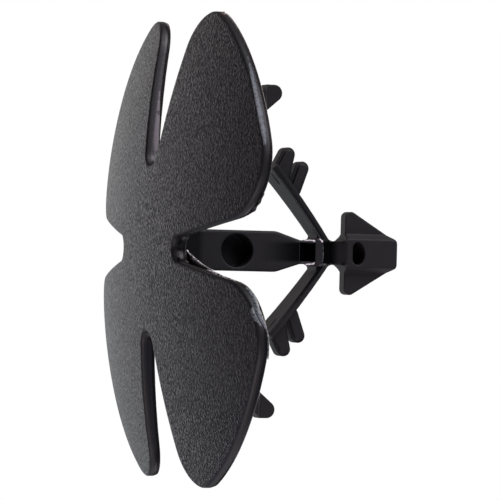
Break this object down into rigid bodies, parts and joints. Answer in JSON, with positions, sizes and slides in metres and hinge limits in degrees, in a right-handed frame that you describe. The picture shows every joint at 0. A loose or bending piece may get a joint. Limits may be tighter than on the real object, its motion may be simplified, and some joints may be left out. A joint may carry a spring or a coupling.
{
  "type": "bonnet retainer clip",
  "caption": "One-piece push-in retainer with a slit domed head, a flat shank, toothed spring arms, stand-off legs and an arrowhead nose.",
  "frame": {"origin": "on the stem's axis, at the crown of the domed outer face, on which the clip stands", "axes": "+Z along the stem from the head to the nose; X through the arms, legs and slits; Y through the wide notches and the flat faces of the shank"},
  "size_m": [0.0464, 0.0464, 0.0267],
  "materials": {
    "black_nylon": "moulded nylon, finely spark-textured on the head, smoother on the stem"
  },
  "bodies": {
    "root": {"retainer_clip": "black_nylon"}
  },
  "joints": []
}
